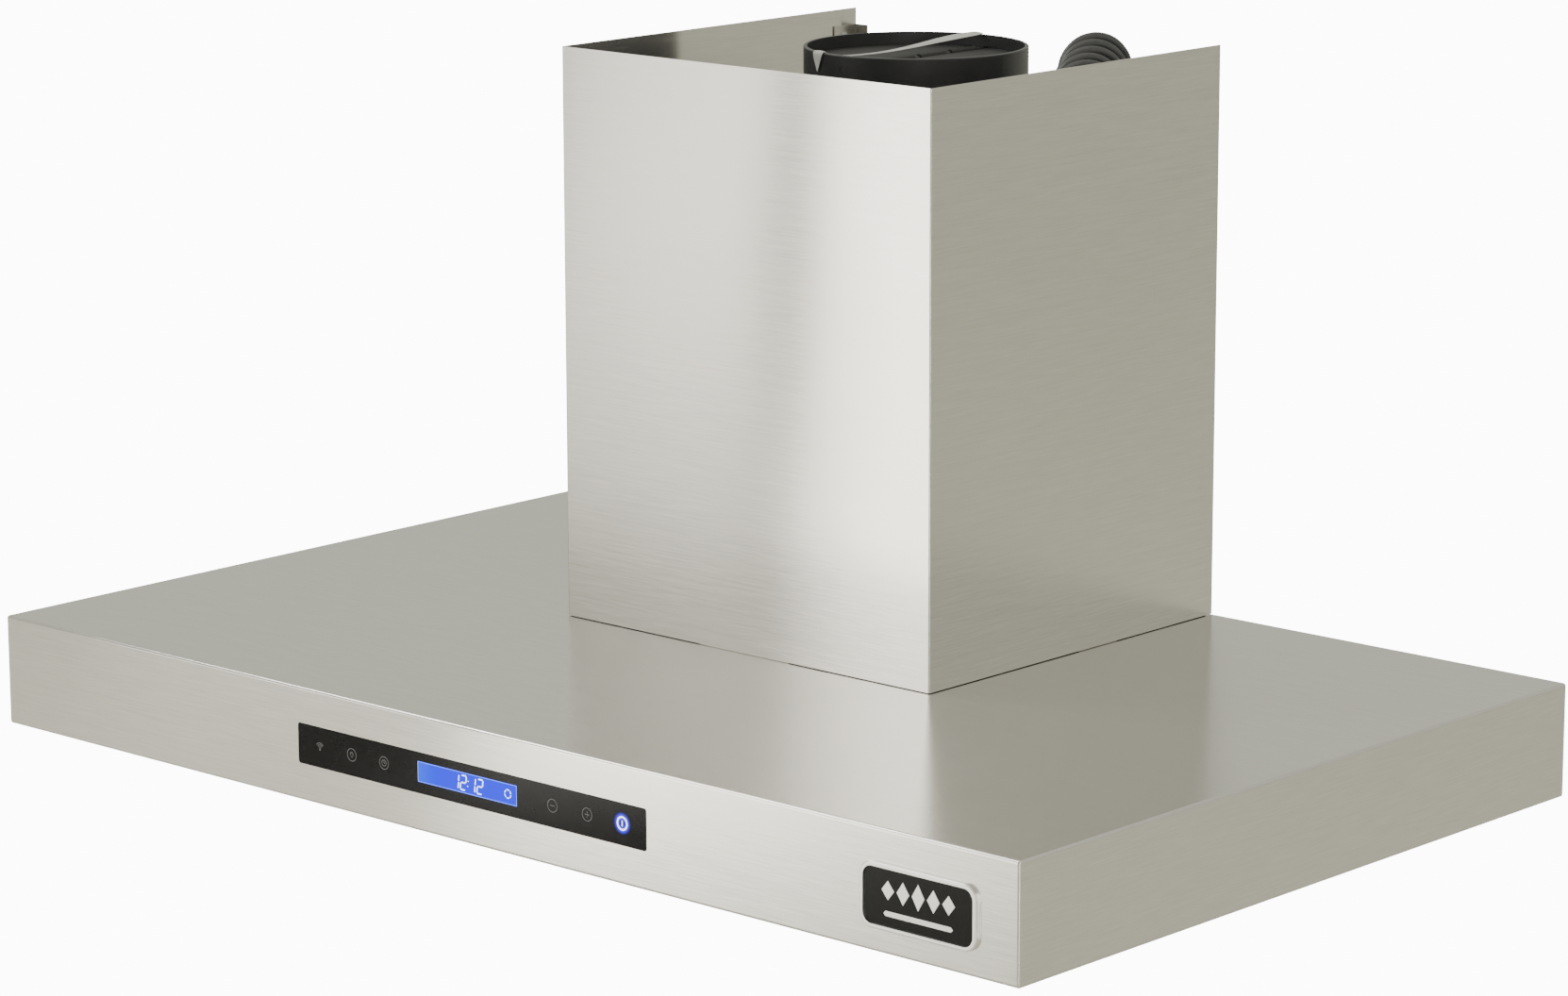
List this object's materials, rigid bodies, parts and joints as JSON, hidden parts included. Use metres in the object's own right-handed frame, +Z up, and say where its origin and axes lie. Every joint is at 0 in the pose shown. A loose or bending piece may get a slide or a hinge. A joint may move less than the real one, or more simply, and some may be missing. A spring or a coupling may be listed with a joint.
{
  "type": "range hood",
  "caption": "Wall-mounted box chimney range hood with touch control, hinged baffle filters, centrifugal blower, lamps and backdraft damper.",
  "frame": {"origin": "on the wall plane at the middle of the width, level with the canopy's bottom edge", "axes": "+X to the right as seen from the front, +Y into the wall, +Z up"},
  "size_m": [0.9, 0.553, 0.479],
  "materials": {
    "brushed_stainless": "fine straight brushed stainless steel, satin",
    "polished_rim": "polished metal rim",
    "badge_black": null,
    "galvanised_steel": "hot-dip galvanised steel sheet, soft spangle",
    "zinc_screws": "zinc plated screws and rivets",
    "spring_steel": "rolled spring steel, half bright",
    "ground_shaft": "ground steel shaft",
    "painted_wheel": "black powder coat",
    "foam_rubber": "closed-cell foam",
    "black_plastic": "moulded black ABS, low gloss",
    "black_rubber": "black PVC cord jacket, satin",
    "white_plastic": "moulded white plastic",
    "circuit_board": "green solder mask over glass laminate",
    "dark_glass": "black back-printed tempered glass",
    "lcd_cell": "backlit blue display",
    "lamp_bezel": "spun stainless ring",
    "frosted_lens": "frosted lamp lens",
    "lamp_can": "die-cast lamp housing",
    "brass_blades": "nickel-plated brass plug blades"
  },
  "bodies": {
    "root": {"badge_plate": "badge_black", "badge_rim": "polished_rim", "blower_housing": "galvanised_steel", "blower_screws": "zinc_screws", "canopy_shell": "brushed_stainless", "chimney_brackets": "galvanised_steel", "chimney_clips": "galvanised_steel", "chimney_cover": "brushed_stainless", "chimney_rivets": "zinc_screws", "collar_gasket": "foam_rubber", "collar_screws": "zinc_screws", "control_box": "galvanised_steel", "control_box_lid": "galvanised_steel", "control_glass": "dark_glass", "control_holder": "black_plastic", "cord_gland": "black_plastic", "cord_tie": "black_plastic", "damper_pin": "ground_shaft", "damper_seat": "black_rubber", "duct_collar": "black_plastic", "housing_cover": "galvanised_steel", "intake_liner": "brushed_stainless", "lamp_left_bezel": "lamp_bezel", "lamp_left_body": "lamp_can", "lamp_left_lens": "frosted_lens", "lamp_right_bezel": "lamp_bezel", "lamp_right_body": "lamp_can", "lamp_right_lens": "frosted_lens", "lcd_module": "lcd_cell", "liner_screws": "zinc_screws", "motor_bracket": "galvanised_steel", "motor_can": "painted_wheel", "motor_capacitor": "white_plastic", "plug_blades": "brass_blades", "plug_body": "black_rubber", "power_board": "circuit_board", "power_cord_hank": "black_rubber", "power_cord_lead": "black_rubber", "power_cord_tail": "black_rubber", "scroll_side_left": "galvanised_steel", "scroll_side_right": "galvanised_steel", "scroll_wrap": "galvanised_steel", "terminal_block": "white_plastic", "touch_board": "circuit_board", "wall_plate": "galvanised_steel"},
    "impeller": {"impeller": "painted_wheel", "impeller_shaft": "ground_shaft"},
    "damper_left": {"damper_left": "black_plastic"},
    "damper_right": {"damper_right": "black_plastic"},
    "filter_1": {"filter_1_frame": "brushed_stainless", "filter_1_baffles": "brushed_stainless", "filter_1_handle": "brushed_stainless", "filter_1_spring": "spring_steel"},
    "filter_2": {"filter_2_frame": "brushed_stainless", "filter_2_baffles": "brushed_stainless", "filter_2_handle": "brushed_stainless", "filter_2_spring": "spring_steel"},
    "filter_3": {"filter_3_frame": "brushed_stainless", "filter_3_baffles": "brushed_stainless", "filter_3_handle": "brushed_stainless", "filter_3_spring": "spring_steel"}
  },
  "joints": [
    {"name": "impeller_spin", "type": "hinge", "parent": "root", "child": "impeller", "pos_m": [0, -0.122, 0.21], "axis": [1, 0, 0], "continuous": true},
    {"name": "damper_left_swing", "type": "hinge", "parent": "root", "child": "damper_left", "pos_m": [0, -0.122, 0.455], "axis": [0, 1, 0], "range_deg": [0, 75]},
    {"name": "damper_right_swing", "type": "hinge", "parent": "root", "child": "damper_right", "pos_m": [0, -0.122, 0.455], "axis": [0, -1, 0], "range_deg": [0, 75]},
    {"name": "filter_1_tilt", "type": "hinge", "parent": "root", "child": "filter_1", "pos_m": [-0.262, -0.06, 0.0295], "axis": [1, 0, 0], "range_deg": [0, 60]},
    {"name": "filter_2_tilt", "type": "hinge", "parent": "root", "child": "filter_2", "pos_m": [0, -0.06, 0.0295], "axis": [1, 0, 0], "range_deg": [0, 60]},
    {"name": "filter_3_tilt", "type": "hinge", "parent": "root", "child": "filter_3", "pos_m": [0.262, -0.06, 0.0295], "axis": [1, 0, 0], "range_deg": [0, 60]}
  ]
}
